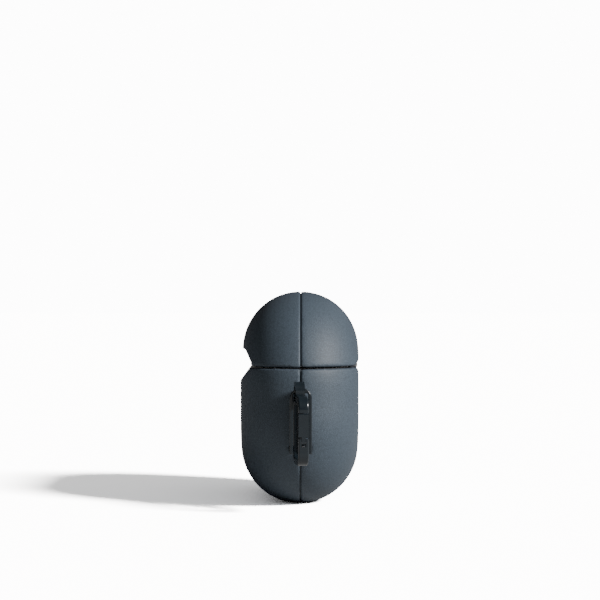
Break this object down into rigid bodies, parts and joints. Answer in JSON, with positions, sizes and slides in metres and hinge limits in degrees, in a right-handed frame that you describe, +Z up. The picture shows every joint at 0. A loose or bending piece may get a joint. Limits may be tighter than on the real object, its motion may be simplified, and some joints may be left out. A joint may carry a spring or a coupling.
{
  "type": "wireless earbuds case",
  "caption": "Leather-covered charging case for wireless earbuds, with a hinged lid, open earbud pockets and a small carabiner on a side bail.",
  "frame": {"origin": "middle of the flat foot, on the axis of the charging port", "axes": "+Z up; +X along the long side, towards the bail and carabiner; -Y is the front with the thumb notch, +Y the hinge side"},
  "size_m": [0.0755, 0.0271, 0.0488],
  "materials": {
    "slate_leather": "fine grain, satin",
    "black_shell": "matte",
    "white_gloss": "polished",
    "white_satin": "satin",
    "gold_contact": "plated",
    "black_insulator": "moulded",
    "nickel_magnet": "nickel plated",
    "battery_can": "brushed",
    "circuit_board": "solder mask",
    "hinge_steel": "brushed",
    "copper_wire": "enamelled winding",
    "ferrite": "sintered",
    "light_guide": "frosted",
    "flex_film": "polyimide film",
    "dark_enamel": "dark gloss"
  },
  "bodies": {
    "case_base": {"base_leather_front": "slate_leather", "base_leather_back": "slate_leather", "base_shell": "black_shell", "base_housing": "white_gloss", "earbud_cradle": "white_satin", "charging_pins": "gold_contact", "earbud_magnets": "nickel_magnet", "base_latch_magnets": "nickel_magnet", "battery": "battery_can", "main_board": "circuit_board", "board_chips": "black_insulator", "button_switch": "nickel_magnet", "charging_port": "hinge_steel", "port_contacts": "black_insulator", "port_collar": "black_shell", "wireless_coil": "copper_wire", "coil_ferrite": "ferrite", "status_light_guide": "light_guide", "status_led": "light_guide", "pin_flex": "flex_film", "hinge_base_leaf": "hinge_steel", "hinge_base_screws": "hinge_steel", "hinge_pin": "hinge_steel", "strap_bail": "dark_enamel"},
    "case_lid": {"lid_leather_front": "slate_leather", "lid_leather_back": "slate_leather", "lid_shell": "black_shell", "lid_housing": "white_gloss", "lid_liner": "white_satin", "lid_latch_magnets": "nickel_magnet", "hinge_lid_leaf": "hinge_steel", "hinge_lid_screws": "hinge_steel"},
    "carabiner": {"carabiner_body": "dark_enamel", "gate_pin": "hinge_steel", "gate_spring": "hinge_steel"},
    "gate": {"carabiner_gate": "dark_enamel"},
    "button": {"pairing_button": "white_gloss"}
  },
  "joints": [
    {"name": "lid_hinge", "type": "hinge", "parent": "case_base", "child": "case_lid", "pos_m": [0, 0.01265, 0.0318], "axis": [-1, 0, 0], "range_deg": [0, 80]},
    {"name": "carabiner_swing", "type": "hinge", "parent": "case_base", "child": "carabiner", "pos_m": [0.0354, -0.00007, 0.027], "axis": [0.1305, -0.9914, 0], "range_deg": [0, 100]},
    {"name": "gate_pivot", "type": "hinge", "parent": "carabiner", "child": "gate", "pos_m": [0.04224, 0.00083, 0.0161], "axis": [0.1305, -0.9914, 0], "range_deg": [0, 20], "stiffness_Nm_per_rad": 0.004, "springref_deg": -28.65},
    {"name": "button_press", "type": "slide", "parent": "case_base", "child": "button", "axis": [0, -1, 0], "range_m": [0, 0.00035], "stiffness_N_per_m": 1500, "springref_m": -0.0003}
  ]
}
